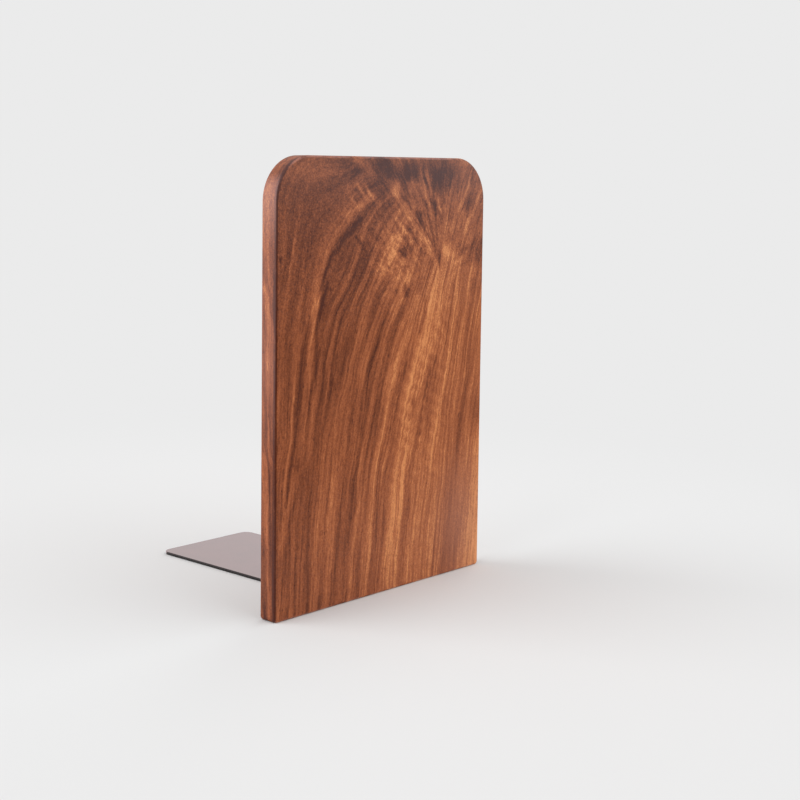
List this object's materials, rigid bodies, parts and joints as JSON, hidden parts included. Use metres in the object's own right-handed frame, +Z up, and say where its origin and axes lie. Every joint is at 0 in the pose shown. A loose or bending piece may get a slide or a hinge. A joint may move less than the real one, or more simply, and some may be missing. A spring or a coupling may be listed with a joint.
{
  "type": "bookend",
  "caption": "Upright wooden bookend: a round-topped hardwood panel screwed to a thin bent steel bracket whose flat base slides under the books.",
  "frame": {"origin": "middle of the footprint of the whole bookend, on the surface that it stands on", "axes": "+Z up, +Y from the wooden panel towards the books along the base, +X to the right seen from the panel's outer face"},
  "size_m": [0.12, 0.105, 0.17],
  "materials": {
    "wood": "oiled walnut with a curved, streaky figure, satin",
    "bracket_steel": "dark brown powder coat, satin",
    "pad_rubber": "matt black",
    "screw_steel": "blackened, satin"
  },
  "bodies": {
    "root": {"wood_panel": "wood", "steel_bracket": "bracket_steel", "non_slip_pad": "pad_rubber", "leg_screw_1": "screw_steel", "leg_screw_2": "screw_steel", "leg_screw_3": "screw_steel", "leg_screw_4": "screw_steel"}
  },
  "joints": []
}
